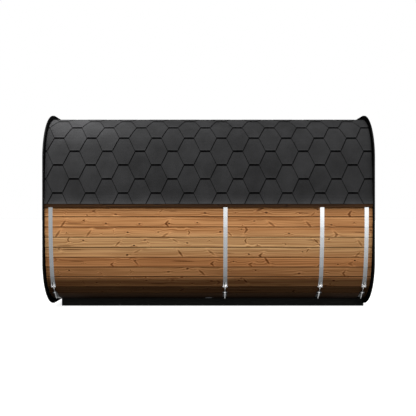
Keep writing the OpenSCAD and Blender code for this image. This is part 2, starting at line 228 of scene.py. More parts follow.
def paint(code):
    """The linear colour of a web colour such as #aa7a4c."""
    channels = [int(code[i:i + 2], 16) / 255 for i in (1, 3, 5)]
    return tuple(((c + 0.055) / 1.055) ** 2.4 if c > 0.04045 else c / 12.92
                 for c in channels) + (1.0,)


# ---- Wood ----------------------------------------------------------------------------------
# Kinds of knot: spacing along a board, half length, half width and greatest slant
EYES = (0.38, 0.026, 0.016, 0.2)
SPIKES = (0.42, 0.068, 0.017, 0.85)
POCKETS = (1.3, 0.190, 0.011, 0.02)
BOARD_SHIFT = 9.17                             # how far each board's knots are out of step
BLEACHED = (0.98, 1.15, 1.28)                  # tint of the sun-paled boards below the middle
RUDDY = (1.04, 0.93, 0.86)                     # tint of the reddest boards
RESIN = (0.27, 0.19, 0.14)                     # tint of a knot's stain
# Painted shade and painted light up a side: the height at which each change of brightness is
# complete, the height at which it starts, and the share of brightness that it ends with. Painted
# shade makes the wood darker towards the ground, makes each stave below the closing one darker
# than the one above it, and makes the lowest nearly black. Under the eaves batten lies a faint
# painted shadow, with a painted highlight above it.
PAINTED_SHADING = ((0.25, 0.85, 0.60), (0.381, 0.389, 0.66), (0.27, 0.29, 0.85), (0.185, 0.20, 0.72),
              (0.12, 0.185, 0.15), (1.22, 1.14, 0.88), (1.246, 1.232, 1.40))


# Each of the next functions gives three things for a point of its pieces: how far along the
# grain it lies, its place across the boards, counted in boards, and a number that sets its
# boards apart from those of other pieces.


def shell_boards(f):
    """The staves round the shell. The girth runs from the middle of the side, down positive: the
    upright part, plus the bow's arc, plus the corner's arc, plus the way across the floor or
    the roof. The closing stave is narrow, so the joints below it come sooner."""
    x, y, z = f.place()
    height = z - MIDDLE_Z
    out, up = abs(y), abs(height)
    lean = (up - SIDE_FLAT).of("ARCTAN2", out + (BOW_R - SHELL_HALF))
    turn = (up - CORNER_Z).of("ARCTAN2", out - LEVEL_HALF)
    girth = (up.of("MINIMUM", SIDE_FLAT) + LEVEL_HALF - out.of("MINIMUM", LEVEL_HALF)
             + lean.clamp(0, BOW_TURN) * BOW_R
             + (turn.clamp(BOW_TURN, math.pi / 2) - BOW_TURN) * CORNER_R)
    down = girth * height.of("SIGN") * -1
    past_closing = (down > CLOSING_GIRTH) * ((STAVE_W - CLOSING_W) / STAVE_W)
    return x, (down - JOINT_DROP) / STAVE_W + past_closing, y.of("SIGN") * 1095


def level_boards(width, count):
    """The staves of the floor or the roof, side by side across the building."""
    def boards(f):
        x, y, _ = f.place()
        return x, y / width + count / 2, 90 + count
    return boards


def wall_boards(f):
    """Boards that lie across the building, one joint level with that below a side's middle."""
    x, y, z = f.place()
    return y, (MIDDLE_Z - JOINT_DROP - z) / STAVE_W, (x > 0) * 60 + 150


def whole_piece(axis, salt, node):
    """A piece sawn from one board, with its grain along one axis. The place across the board
    is the sum of the distances from the node's middle along the other axes, with X counted
    half, so that no joint crosses the piece. Pieces may be mirrored in Y."""
    low, high = corners(node)
    middle = (low + high) / 2

    def boards(f):
        x, y, z = f.place()
        across = [(x - middle[0]) * 0.5, abs(y) - abs(middle[1]), z - middle[2]]
        del across[axis]
        return (x, y, z)[axis], (across[0] + across[1]) / STAVE_W + 0.5, salt
    return boards


def knots(f, along, across, number, kind, chance, forks=0.0):
    """Knots strung along each board, one in each random cell, each an ellipse turned by up to
    its kind's slant either way. Only in a share of the cells, "chance", is it large enough to
    see. A share of the knots, "forks", are a pair of arms that spread from one point.

    Returns how far a point lies from the nearest knot, in knot radii, the two parts of that
    distance, along the knot and across it, and how dark the knot is."""
    spacing, length, width, slant = kind
    run = along / spacing + number * BOARD_SHIFT
    sockets = {"W": run, "Scale": 1.0, "Randomness": 0.85}
    cell = f.node("TexVoronoi", {"voronoi_dimensions": "1D"}, sockets, "W")
    place, turn, size = cell.other("Color").parts()
    step = (run - cell) * spacing
    side = across - (place * 0.7 + 0.15) * STAVE_W
    forked = (place * 7.3).of("FRACT") < forks
    side = side + (abs(side) - side) * forked
    way = f.maths("SIGN", turn - 0.38)
    angle = ((turn * 5.1).of("FRACT") * 0.7 + 0.5) * way * slant
    cos, sin = angle.of("COSINE"), angle.of("SINE")
    grown = (size - 1 + chance).of("MAXIMUM", 0.0001) * (0.6 / chance) + 0.0001
    grown = grown.of("POWER", 0.35)
    p = (step * cos + side * sin) / (grown * length)
    q = (side * cos - step * sin) / (grown * width)
    return (p * p + q * q).of("SQRT"), p, q, (turn * 3.7).of("FRACT") * 0.45 + 0.55


def grain(f, along, across, number, bend, luck):
    """Streaks along each board, bent aside at its knots. Returns the fine ones, the broad ones,
    and a sum of both with faint even rings, whose spacing hangs on the board's luck."""
    line = across + bend
    drift = f.noise(along * 0.9 + number * 1.7, across * 9, number * 0.9, 1.0)
    fine = f.noise(along * 1.9 + number * 5.3, line * 330, number * 2.1, 3.0, 0.6)
    broad = f.noise(along * 0.8 + number * 3.1, line * 95 + drift * 5, number * 4.7, 2.0, 0.6)
    rings = ((line * (24 + luck * 22) + drift * 2.6) * math.tau).of("SINE")
    return fine, broad, fine * 0.6 + broad * 1.4 + rings * 0.05 - 0.50


def board_light(f, along, across, number, luck):
    """How light a board is: its luck, its patches, and a painted highlight, a paler band, beside
    each edge.
    """
    patch = f.noise(along * 2.3 + number * 7.7, across * 14, number, 2.0)
    rest = STAVE_W - across
    # painted highlights beside each edge of the board
    upper_edge_highlight = f.ease(across, 0.005, 0.008) * f.ease(across, 0.019, 0.012)
    lower_edge_highlight = f.ease(rest, 0.011, 0.015) * f.ease(rest, 0.027, 0.020)
    return luck * 0.20 + patch * 0.20 + upper_edge_highlight * 0.20 + lower_edge_highlight * 0.17 + 0.765


def timber(name, boards, look, knotty=0.75, painted_shade_and_bleach=False):
    """Planed softwood: streaks along each board, knots, a tone for each board, and a dark groove
    where two boards meet, with a painted highlight along the edges beside it. "look" is three web
    colours: pale and dark grain, and the heart of a knot. Knots are of three kinds: eyes, each
    with a dark core and a thin stained tail along the grain, slanting spikes, and long thin
    pockets of pitch. Where asked, it also adds painted shade and painted light by height, a
    sun-paled band below the middle of a side, and a fainter groove at the tight joint."""
    f = Finish(name, {"Specular IOR Level": 0.04})
    pale, deep, heart = (paint(code) for code in look)
    along, steps, salt = boards(f)
    board = steps.of("FLOOR")
    number = board + salt
    across = (steps - board) * STAVE_W
    tone_luck, red_luck, grain_luck = f.luck(number)
    eye, eye_p, eye_q, eye_dark = knots(f, along, across, number, EYES, knotty)
    spike, *_, spike_dark = knots(f, along, across, number + 300, SPIKES, knotty, 0.3)
    pitch, *_, pitch_dark = knots(f, along, across, number + 600, POCKETS, knotty * 0.7)
    knot = eye.of("MINIMUM", spike)
    bend = f.ease(knot, 4.5, 0.8) * 0.012
    fine, broad, streak = grain(f, along, across, number, bend, grain_luck)
    colour = f.blend(f.ease(streak, 0.2, 0.85), deep, pale)
    light = board_light(f, along, across, number, tone_luck)
    groove = f.ease(across.of("MINIMUM", STAVE_W - across), 0.0058, 0.0031)
    if painted_shade_and_bleach:
        height = f.place()[2]
        # painted shade and painted light, step by step up the side
        for full, start, share in PAINTED_SHADING:
            light = light * f.ease(height, full, start, share, 1.0)
        pale_band = f.ease(height, 1.04, 0.88) * f.ease(height, 0.62, 0.80)
        colour = f.blend(pale_band, colour, f.tinted(colour, BLEACHED))
        groove = groove * f.ease(abs(height - TIGHT_JOINT_Z), 0.008, 0.012, 0.2, 1.0)
    colour = f.scaled(colour, light)
    colour = f.blend(red_luck * 0.8, colour, f.tinted(colour, RUDDY))
    colour = f.blend(f.ease(knot, 2.4, 1.2) * 0.6, colour, f.scaled(colour, 1.30))
    tail = ((eye_p / 3.6).of("POWER", 2.0) + (eye_q * 1.9).of("POWER", 2.0)).of("SQRT")
    ragged = f.noise(along * 60, across * 90, number, 2.0) * 0.6
    stain = f.ease(tail, 1.0, 0.4) * 0.6
    stain = stain.of("MAXIMUM", f.ease(spike + ragged, 1.7, 0.8) * spike_dark)
    stain = stain.of("MAXIMUM", f.ease(pitch + ragged, 1.5, 0.8) * pitch_dark)
    colour = f.blend(stain, colour, f.tinted(colour, RESIN))
    core = f.ease(eye, 1.1, 0.6) * eye_dark
    colour = f.blend(core, colour, heart)
    colour = f.blend(groove * 0.92, colour, paint("#1a0f08"))
    f.feed({"Base Color": colour, "Roughness": 0.66 - fine * 0.14})
    f.relief(fine * 0.5 + broad * 0.3 - core * 0.3 - groove * 0.5, 0.0006)
    return f


# ---- Paint, metal, glass and shingle -------------------------------------------------------
STRAPS = ("strap_back", "strap_middle", "strap_front_wall", "strap_porch")
UPPER_EYE_Z = 0.290                            # height of the upper cross pins
EYE_HALF = 0.027                               # half the width of a strap's upper eye
EYE_R = 0.030                                  # radius of its lower end, in height
SLOT_LOW, SLOT_HIGH = 0.008, 0.062             # its slot, above the pin


def black_paint(name, colour, marks, grain=(60.0, 60.0, 60.0), faces=None):
    """Black stain or paint, with a faint grain and slightly worn, lighter patches. "faces" is a
    darker colour for what faces along the building: painted shade that keeps those faces black
    under the lamps. Such paint also gets painted shade at the height of the roof, and other paint
    gets painted shade near the ground."""
    f = Finish(name, {"Specular IOR Level": 0.0 if faces else 0.03})
    x, y, z = f.place()
    fine = f.noise(x * grain[0], y * grain[1], z * grain[2], 3.0, 0.6)
    cloud = f.noise(x * 3.1, y * 3.1, z * 3.1, 3.0)
    bright_patch = f.ease(fine * 0.6 + cloud * 0.5, 0.55, 0.85)
    shade = f.blend(bright_patch, paint(colour), paint(marks))
    if faces:
        flat = abs(f.node("TexCoord", out="Normal").parts()[0])
        # painted shade at the height of the roof
        shade = f.scaled(shade, f.ease(z, MIDDLE_Z + 0.85, MIDDLE_Z + 1.1, 1.0, 0.25))
        # painted shade on what faces along the building
        shade = f.blend(f.ease(flat, 0.5, 0.9), shade, paint(faces))
    else:
        # painted shade near the ground
        shade = f.scaled(shade, f.ease(z, 0.0, 0.08, 0.3, 1.0))
    f.feed({"Base Color": shade, "Roughness": 0.5 + fine * 0.25})
    f.relief(fine, 0.0004)
    return f


def brushed_steel(name, colour, dull, across_scale, along_scale, roughness=0.17, marks=None):
    """Rolled steel with fine lines along its length and faint clouds of dullness. Its last
    argument, if given, is a function that changes the steel's colour by its place beside a strap
    and its height: painted highlights and shade on the straps, darker parts on the bolts."""
    f = Finish(name, {"Metallic": 1.0})
    x, y, z = f.place()
    lines = f.noise(x * across_scale, y * along_scale, z * along_scale, 2.0)
    cloud = f.noise(x * 9, y * 9, z * 9, 3.0)
    shade = f.blend(cloud * 0.7, paint(colour), paint(dull))
    if marks:
        shade = marks(f, shade, beside_strap(x), z)
    f.feed({"Base Color": shade, "Roughness": roughness + lines * 0.08 + cloud * 0.06})
    f.relief(lines, 0.00008)
    return f


def beside_strap(x):
    """How far along the building a point lies from the middle of its strap."""
    gap = 0
    for strap in STRAPS:
        low, high = corners(strap)
        step = x - (low[0] + high[0]) / 2
        gap = gap + step * (abs(step) < 0.1)
    return gap


def strap_highlights_and_shade(f, shade, gap, z):
    """Painted highlights and shade on the straps: a painted highlight at the bottom of their upper
    eyes and on a narrow strip beside the slot above, painted shadow in the slot and at the eyes'
    lower corners, and painted shade all over below the upper eyes. "reach" is the distance from an
    eye's pin in eye radii, so it is 1 round the eye's lower end."""
    up = z - UPPER_EYE_Z
    low = (SLOT_LOW - up).of("MAXIMUM", 0) / EYE_R
    reach = ((gap / EYE_HALF).of("POWER", 2.0) + low * low).of("SQRT")
    eye = f.ease(up, -EYE_R - 0.005, -EYE_R)
    above = f.ease(up, SLOT_LOW, SLOT_LOW + 0.006) * f.ease(up, SLOT_HIGH, SLOT_HIGH - 0.014)
    bead_highlight = f.ease(gap, 0.001, 0.004) * f.ease(gap, 0.014, 0.011) * above
    # painted shadow in the slot
    slot = f.ease(gap, -0.014, -0.011) * f.ease(gap, 0.003, 0.000) * above
    # painted highlight round the bottom of the upper eye
    bright_patch = f.ease(reach, 1.05, 0.85) * f.ease(up, 0.046, 0.022) * (1 - slot * 0.9)
    bright_patch = bright_patch.of("MAXIMUM", bead_highlight * 0.8)
    # painted shade at the eyes' lower corners, in the slot and below the upper eyes
    painted_shade = f.ease(reach, 1.2, 1.0, 0.3, 1.0) * (1 - slot * 0.6) * (eye * 0.7 + 0.3)
    # f2f2f2 is the colour of the painted highlight
    return f.blend(bright_patch * eye, f.scaled(shade, painted_shade), paint("#f2f2f2"))


def bolt_darkening(f, shade, gap, z):
    """Bolts and pins are darker between the eyes, away from the nuts under the lower ones, and at
    the bolts' lower ends."""
    between = f.ease(z, UPPER_EYE_Z - EYE_R, UPPER_EYE_Z - EYE_R - 0.006) * f.ease(z, 0.210, 0.216)
    far_out = f.ease(abs(gap), 0.011, 0.015) * f.ease(z, 0.250, 0.240)
    end = f.ease(z, 0.120, 0.138, 0.3, 1.0)
    return f.scaled(shade, (1 - between * 0.75) * (1 - far_out * 0.8) * end)


def zinc(name):
    """Hot-dipped zinc: a spangle of flat crystals, each a little lighter or darker."""
    f = Finish(name, {"Metallic": 0.25})
    x, y, z = f.place()
    sockets = {"Vector": f.vector(x, y, z), "Scale": 150.0}
    spangle = f.node("TexVoronoi", {}, sockets, "Color").parts()[0]
    f.feed({"Base Color": f.blend(spangle, paint("#85888a"), paint("#b0b3b5")),
            "Roughness": 0.42 + spangle * 0.2})
    return f


def tinted_glass(name):
    """Grey tinted safety glass with faint smears."""
    f = Finish(name, {"Transmission Weight": 1.0, "IOR": 1.5, "Specular IOR Level": 0.5})
    x, y, z = f.place()
    smear = f.noise(x * 2, y * 5, z * 2, 3.0)
    f.feed({"Base Color": f.blend(smear, paint("#8d9694"), paint("#9aa3a1")),
            "Roughness": f.ease(smear, 0.5, 0.9, 0.01, 0.09)})
    return f


TAB_FLAT = 0.1174                              # width of a shingle tab's lower edge
TAB_SLANT = 0.0815                             # how far each side of a tab runs outwards
TAB_COURSE = 0.1712                            # girth from one course to the next
TAB_PITCH = 2 * (TAB_FLAT + TAB_SLANT)
TAB_GIRTH = 2 * TAB_COURSE
TAB_WIDE = TAB_FLAT / 2 + TAB_SLANT            # half the greatest width


def shingle_grit(name, dark, light, lines):
    """Mineral granules on bitumen. Where tabs are laid ("lines"), a painted shadow lies under each
    tab's lower edge and along its sides, thinnest on the side towards the porch, and a painted
    highlight runs just above each tab's own lower edge. The lines come from the tab's own UV map:
    metres across from its middle, and metres up it."""
    f = Finish(name, {"Specular IOR Level": 0.0})
    x, y, z = f.place()
    grit = f.noise(x * 420, y * 420, z * 420, 2.0, 0.7)
    cloud = f.noise(x * 5, y * 5, z * 5, 3.0)
    colour = f.blend(f.ease(grit * 0.8 + cloud * 0.3, 0.3, 0.8), paint(dark), paint(light))
    if lines:
        tone = f.node("Attribute", {"attribute_name": "tone"}, out="Fac")
        colour = f.scaled(colour, tone)
        side, rise, _ = f.node("UVMap", {"uv_map": "tab"}).parts()
        run = math.hypot(TAB_SLANT, TAB_COURSE)
        slant = ((TAB_WIDE - abs(side)) * TAB_COURSE
                 - (rise - TAB_COURSE) * TAB_SLANT) / run
        reach = f.ease(side, -0.02, 0.02, 0.0140, 0.0080)
        upper = rise > TAB_COURSE
        shade = f.ease(slant / reach, 1.0, 0.55) * upper
        under = f.ease(rise, TAB_GIRTH - 0.022, TAB_GIRTH - 0.015)
        own = f.ease(rise, 0.005, 0.0020)
        # painted highlight just above the tab's own lower edge
        lip_highlight = f.ease(rise, 0.005, 0.008) * f.ease(rise, 0.022, 0.014)
        colour = f.scaled(colour, lip_highlight * 0.18 + 1)
        # painted shadow lines under and beside the tabs above, in the dark colour below
        line = shade.of("MAXIMUM", under).of("MAXIMUM", own)
        colour = f.blend(line * 0.96, colour, paint("#030303"))
    f.feed({"Base Color": colour, "Roughness": 0.86})
    f.relief(grit, 0.0009)
    return f


# ---- Meshes from arrays --------------------------------------------------------------------
def grid_faces(rows, columns, wrap=False):
    """Quads of a grid of rows by columns; "wrap" joins the last column to the first."""
    first = np.arange(rows - 1)[:, None] * columns
    step = np.arange(columns if wrap else columns - 1)[None, :]
    left = first + step
    right = first + (step + 1) % columns
    return np.stack([left, right, right + columns, left + columns], -1).reshape(-1, 4)


def add_piece(name, finish, parts, smooth=False, uvs=None, tones=None):
    """Joins (points, faces) pairs into one piece that rides on the building."""
    points, faces, first = [], [], 0
    for part_points, part_faces in parts:
        points.append(np.asarray(part_points, float).reshape(-1, 3))
        faces.append(np.asarray(part_faces) + first)
        first += len(points[-1])
    points = np.concatenate(points)
    faces = np.concatenate(faces)
    mesh = bpy.data.meshes.new(name)
    mesh.from_pydata(points.tolist(), [], faces.tolist())
    mesh.materials.append(finish.material)
    if smooth:
        mesh.polygons.foreach_set("use_smooth", np.ones(len(faces), bool))
    loops = faces.ravel()
    if uvs is not None:
        layer = mesh.uv_layers.new(name="tab")
        layer.data.foreach_set("uv", uvs[loops].ravel())
    if tones is not None:
        mesh.attributes.new("tone", "FLOAT", "POINT").data.foreach_set("value", tones)
    mesh.update()
    piece = bpy.data.objects.new(name, mesh)
    bpy.context.scene.collection.objects.link(piece)
    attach(piece, BODY)
    return piece


def lathe(radius, height, angle):
    """A closed shape round Z from a grid of radii, a row for each height and a column for each
    of an even number of angles. The faces point outwards when the heights run upwards."""
    radius, height, angle = np.broadcast_arrays(radius, height, angle)
    rows, sides = radius.shape
    points = np.stack([radius * np.cos(angle), radius * np.sin(angle), height], -1)
    tips = [[0, 0, height[0, 0]], [0, 0, height[-1, 0]]]
    tip = np.full(sides // 2, rows * sides)
    first = np.arange(0, sides, 2)
    last = (first + 2) % sides
    top = (rows - 1) * sides
    low_cap = np.stack([tip, last, first + 1, first], -1)
    high_cap = np.stack([tip + 1, top + first, top + first + 1, top + last], -1)
    faces = np.concatenate([grid_faces(rows, sides, wrap=True), low_cap, high_cap])
    return np.concatenate([points.reshape(-1, 3), tips]), faces


def turned(profile, sides):
    """A lathe shape round Z from (radius, height) pairs, from its lower end to its upper."""
    profile = np.array(profile, float)
    angle = np.arange(sides) * math.tau / sides
    return lathe(profile[:, :1], profile[:, 1:], angle)


def placed(shape, origin, axis, across=(1.0, 0.0, 0.0)):
    """A shape made round Z, turned so that Z lies along the axis and moved to the origin."""
    points, faces = shape
    axis = np.array(axis, float) / np.linalg.norm(axis)
    side = np.cross(axis, across)
    side /= np.linalg.norm(side)
    turn = np.stack([np.cross(side, axis), side, axis])
    return points @ turn + np.array(origin), faces


# ---- Shape of the shell ----------------------------------------------------------------------
def shell_face(girth):
    """Y and Z of the near upper quarter of the shell's outer face, and the way it faces.

    The girth runs up from the middle of the side: an upright part, the bow's arc, the corner's
    arc and the level roof. The way is the angle at which the face looks up."""
    bow = np.clip((girth - SIDE_FLAT) / BOW_R, 0, BOW_TURN)
    way = bow + np.clip((girth - BOW_END) / CORNER_R, 0, math.pi / 2 - BOW_TURN)
    level = np.clip(girth - LEVEL_GIRTH, 0, None)
    y = (level - SHELL_HALF + BOW_R * (1 - np.cos(bow))
         + CORNER_R * (np.cos(bow) - np.cos(way)))
    z = (MIDDLE_Z + np.minimum(girth, SIDE_FLAT) + BOW_R * np.sin(bow)
         + CORNER_R * (np.sin(way) - np.sin(bow)))
    return y, z, way


# ---- Roof covering ---------------------------------------------------------------------------
ROOF_GIRTH = MIDDLE_GIRTH - EAVE_UP            # girth from the eave to the middle of the roof


def roof_surface(girth, off):
    """Y and Z of the near half of the roof at a girth from the eave, "off" outside the staves.
    The lowest course is kicked out, as a parabola."""
    girth, off = np.broadcast_arrays(girth, off)
    y, z, way = shell_face(EAVE_UP + girth)
    kick = np.clip(1 - girth / KICK_H, 0, 1)
    way = way + np.arctan(2 * KICK * kick / KICK_H)
    return y - KICK * kick ** 2 - off * np.cos(way), z + off * np.sin(way)


def hung(x, girth, off, side):
    """Points of the roof; side is -1 for the near half and 1 for the far half."""
    y, z = roof_surface(girth, off)
    return np.stack(np.broadcast_arrays(x, -side * y, z), -1)


def slab(top, bottom):
    """A closed sheet between two like grids of points, with its rim.

    Faces point outwards when the top grid's rows run up and its columns run to the right, as
    seen from outside."""
    rows, columns = top.shape[:2]
    count = rows * columns
    quads = grid_faces(rows, columns)
    index = np.arange(count).reshape(rows, columns)
    rim = np.concatenate([index[0], index[1:, -1], index[-1, -2::-1], index[-2:0:-1, 0]])
    after = np.roll(rim, -1)
    edge = np.stack([rim, rim + count, after + count, after], -1)
    points = np.concatenate([top.reshape(-1, 3), bottom.reshape(-1, 3)])
    return points, np.concatenate([quads, quads[:, ::-1] + count, edge])


def outwards(shape, side):
    """Turns a shape's faces over on the far half, where the roof is a mirror image."""
    points, faces = shape
    return points, faces if side < 0 else faces[:, ::-1]


UNDERLAY_LOW, UNDERLAY_TOP = 0.0003, 0.001     # the sheet's two faces, above the staves
TAB_EDGE = 0.0067                              # how high a tab's lower edge stands
TAB_HEAD = 0.0027                              # how high its hidden upper edge lies
TAB_T = 0.0032
FIRST_BAR = 0.140                              # girth of the first tab edges above the eave
TAB_CENTRES = (0.157, 0.356)                   # X of a tab in even and in odd courses
TAB_ROWS = 5                                   # rows of points in each half of a tab
SLIVER = 0.004                                 # a tab cut narrower than this is left out
TAB_UNEVEN = 0.00035                           # how unevenly tabs stand out
TONE_UNEVEN = 0.06                             # how unlike the tones of tabs are
CROWN_LOW, CROWN_HIGH = 1.20, 1.75             # girths where the corner turns into the roof
CROWN_RAMP = 0.06
CROWN_LIFT = 0.0065                            # how much higher the tabs stand there
EAVE_BAND = 0.05                               # width of the band of painted highlight at the eave


def underlay():
    """The bitumen sheet under the tabs: on each half a closed strip from the eave to the ridge,
    with rows close together round the corner."""
    ends = (0, KICK_H, BOW_END - EAVE_UP, LEVEL_GIRTH - EAVE_UP, ROOF_GIRTH)
    runs = [np.linspace(start, end, steps, endpoint=False)
            for start, end, steps in zip(ends, ends[1:], (6, 8, 32, 3))]
    girth = np.concatenate(runs + [[ROOF_GIRTH]])[:, None]
    x = np.array([[-STAVE_END, STAVE_END]])
    parts = []
    for side in (-1, 1):
        shape = slab(hung(x, girth, UNDERLAY_TOP, side), hung(x, girth, UNDERLAY_LOW, side))
        parts.append(outwards(shape, side))
    return parts


def tab_course(course, side, draw):
    """All tabs of one course, as one array of grids.

    A tab is a hexagon: its half width grows evenly from the lower edge to the middle and shrinks
    to the upper edge, and it is cut off at the eave, the ridge and the end rings. It stands out
    most at its lower edge, so it laps over the tabs below it. Where the corner turns into the
    level roof, tabs stand higher and their tones carry painted shade, and at the eave their tones
    carry a painted highlight."""
    edge = FIRST_BAR + course * TAB_COURSE
    low, high = max(0, -edge), min(TAB_GIRTH, ROOF_GIRTH - edge)
    waist = min(max(TAB_COURSE, low), high)
    halves = [np.linspace(start, end, TAB_ROWS) for start, end in ((low, waist), (waist, high))
              if end > start]
    rise = np.unique(np.concatenate(halves))
    reach = math.ceil(STAVE_END / TAB_PITCH) + 1
    middle = TAB_CENTRES[course % 2] + TAB_PITCH * np.arange(-reach, reach + 1)
    half = TAB_FLAT / 2 + TAB_SLANT * (1 - np.abs(rise / TAB_COURSE - 1))
    left = np.clip(middle[:, None] - half, -STAVE_END, STAVE_END)
    right = np.clip(middle[:, None] + half, -STAVE_END, STAVE_END)
    kept = (right - left).max(1) > SLIVER
    middle, left, right = middle[kept], left[kept], right[kept]
    x = np.stack([left, (left + right) / 2, right], -1)
    lift = draw.normal(0, TAB_UNEVEN, len(middle))[:, None, None]
    girth = (edge + rise)[None, :, None]
    crown = np.clip(np.minimum(girth - CROWN_LOW, CROWN_HIGH - girth) / CROWN_RAMP, 0, 1)
    pale_band = np.clip(1 - girth / EAVE_BAND, 0, 1)
    off = TAB_EDGE + (TAB_HEAD - TAB_EDGE) * (rise / TAB_GIRTH)[None, :, None] + lift
    off = off + CROWN_LIFT * crown
    top = hung(x, girth, off, side)
    bottom = hung(x, girth, off - TAB_T, side)
    uv = np.stack(np.broadcast_arrays(x - middle[:, None, None], rise[None, :, None]), -1)
    tone = draw.normal(1, TONE_UNEVEN, len(middle))[:, None, None]
    # random tone per tab, a little darker up the roof, with painted shade where the corner turns
    # into the roof and a painted highlight at the eave
    tone = tone * (0.985 - 0.05 * girth - 0.25 * crown + 0.38 * pale_band)
    tone = np.broadcast_to(tone, x.shape)
    return top, bottom, uv, tone


def shingle_tabs(side, seed):
    """The tabs of one half of the roof, with their UV map and tones."""
    draw = np.random.default_rng(seed)
    parts, uvs, tones = [], [], []
    last = math.floor((ROOF_GIRTH - FIRST_BAR) / TAB_COURSE)
    for course in range(-2, last + 1):
        for top, bottom, uv, tone in zip(*tab_course(course, side, draw)):
            parts.append(outwards(slab(top, bottom), side))
            uvs.append(np.concatenate([uv.reshape(-1, 2)] * 2))
            tones.append(np.concatenate([tone.ravel()] * 2))
    return parts, np.concatenate(uvs), np.concatenate(tones)


CAP_HALF = 0.125
CAP_LENGTH = 0.200
CAP_STEP = 0.145                               # from one cap's free end to the next
CAP_T = 0.0035
CAP_TOP = 0.0115                               # how high a free end stands above the staves
CAP_FALL = 0.0038                              # how much lower the other end lies
CAP_BEND = 0.0012                              # how much lower the sides lie


def ridge_caps(seed):
    """Caps over the ridge, each lapping over the one before it, with their UV map and tones.

    Along a cap the height falls evenly from its free end to the end under the next cap, and across
    it with the fourth power of the distance from the ridge. The UV map puts the painted shadow
    line of a tab where the next cap's free end lies, so the last cap has none."""
    draw = np.random.default_rng(seed)
    across = np.linspace(-1, 1, 5)[:, None]
    starts = np.arange(-STAVE_END, STAVE_END - CAP_LENGTH / 2, CAP_STEP)
    parts, uvs, tones = [], [], []
    for start in starts:
        x = np.clip(start + np.array([[0, 0.5, 1]]) * CAP_LENGTH, None, STAVE_END)
        fall = (x - start) / CAP_LENGTH
        z = MIDDLE_Z + SHELL_HALF + CAP_TOP - CAP_FALL * fall - CAP_BEND * across ** 4
        y = across * CAP_HALF
        top = np.stack(np.broadcast_arrays(x, y, z), -1)
        parts.append(slab(top, top - [0, 0, CAP_T]))
        shown = CAP_STEP if start < starts[-1] else 1.2 * CAP_LENGTH
        rise = np.broadcast_to(TAB_GIRTH - shown + x - start, z.shape)
        uv = np.stack([np.zeros(z.shape), rise], -1).reshape(-1, 2)
        uvs.append(np.concatenate([uv] * 2))
        tones.append(np.full(2 * z.size, draw.normal(0.95, TONE_UNEVEN)))
    return parts, np.concatenate(uvs), np.concatenate(tones)


# ---- Fastenings ----------------------------------------------------------------------------
def ends_of(points):
    """The two ends of a long thin shape: the middles of its end faces."""
    middle = points.mean(0)
    along = np.linalg.svd(points - middle, full_matrices=False)[2][0]
    way = (points - middle) @ along
    return points[way > way.max() - 0.0002].mean(0), points[way < way.min() + 0.0002].mean(0)


BOLT_R = 0.005
THREAD_PITCH = 0.00125
THREAD_DEPTH = 0.0006
THREAD_END = 0.002                             # over which the thread runs out at each end
THREAD_RINGS = 4                               # rings of points for each turn
THREAD_SIDES = 12
NUT_IN_R = 0.0085                              # half the width across its flats
NUT_H = 0.008
LONG_NUT_H = 0.048
WASHER_R = 0.0092
WASHER_T = 0.002
PIN_R = 0.009
NUT_LEAD = 0.002                               # how far a bolt stands out of its upper nut


def threaded_rod(length):
    """A rod round Z whose radius falls and rises evenly along a helix, one turn a pitch, and
    stays down at its two ends."""
    rings = int(length / THREAD_PITCH * THREAD_RINGS)
    height = np.linspace(0, length, rings)[:, None]
    angle = np.arange(THREAD_SIDES) * math.tau / THREAD_SIDES
    phase = height / THREAD_PITCH - angle / math.tau
    ridge = np.abs(2 * (phase % 1) - 1)
    ends = np.clip(np.minimum(height, length - height) / THREAD_END, 0, 1)
    radius = BOLT_R - THREAD_DEPTH * (1 - ridge * ends)
    return lathe(radius, height, angle)


def hexagon_nut(height):
    """A nut round Z. Its radius at an angle is that of a hexagon, but no more than that of the
    cones that take off its corners."""
    sides = 48
    angle = np.arange(sides) * math.tau / sides
    hexagon = NUT_IN_R / np.cos((angle + math.pi / 6) % (math.pi / 3) - math.pi / 6)
    cut = np.array([0, 0.0006, 0.0014])
    levels = np.concatenate([cut, [height / 2], height - cut[::-1]])[:, None]
    cone = NUT_IN_R * 0.97 + np.minimum(levels, height - levels) * 1.7
    return lathe(np.minimum(hexagon, cone), levels, angle)


EDGE = 0.0003                                  # chamfer of a washer
WASHER = [(WASHER_R - EDGE, 0), (WASHER_R, EDGE), (WASHER_R, WASHER_T - EDGE),
          (WASHER_R - EDGE, WASHER_T)]
BOLT_TAIL = 0.125                              # bolt length past the middle of the lower pin


def tension_bolts(node):
    """Threaded rods with their nuts and washers, in the places of the CAD bolts."""
    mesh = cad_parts[node].data
    points = np.zeros(len(mesh.vertices) * 3)
    mesh.vertices.foreach_get("co", points)
    points = points.reshape(-1, 3)
    parts = []
    for strap in STRAPS:
        low, high = corners(strap)
        near = np.abs(points[:, 0] - (low[0] + high[0]) / 2) < 0.02
        ends = sorted(ends_of(points[near]), key=lambda end: -end[2])
        length = np.linalg.norm(ends[1] - ends[0])
        axis = (ends[1] - ends[0]) / length
        parts.append(placed(threaded_rod(length), ends[0], axis))
        upper = NUT_LEAD + NUT_H + WASHER_T
        lower = length - BOLT_TAIL + PIN_R
        for seat, way, height in ((upper, -1, NUT_H), (lower, 1, LONG_NUT_H)):
            base = ends[0] + axis * seat
            parts.append(placed(turned(WASHER, 24), base, axis * way))
            parts.append(placed(hexagon_nut(height), base + axis * way * WASHER_T, axis * way))
    return parts


SCREW_DEPTH = 0.021                            # from the staves' outer face to the screws
STAVES_ABOVE = 13                              # of a side, above the joint below its middle
STAVES_TO_CLOSING = 6                          # below that joint, to the closing stave
STAVES_BELOW = 11                              # below that joint, to the floor
SCREW_HEAD = [(0.0056, -0.001), (0.0056, 0.0), (0.0046, 0.0014), (0.0026, 0.0019),
              (0.0022, 0.0006)]


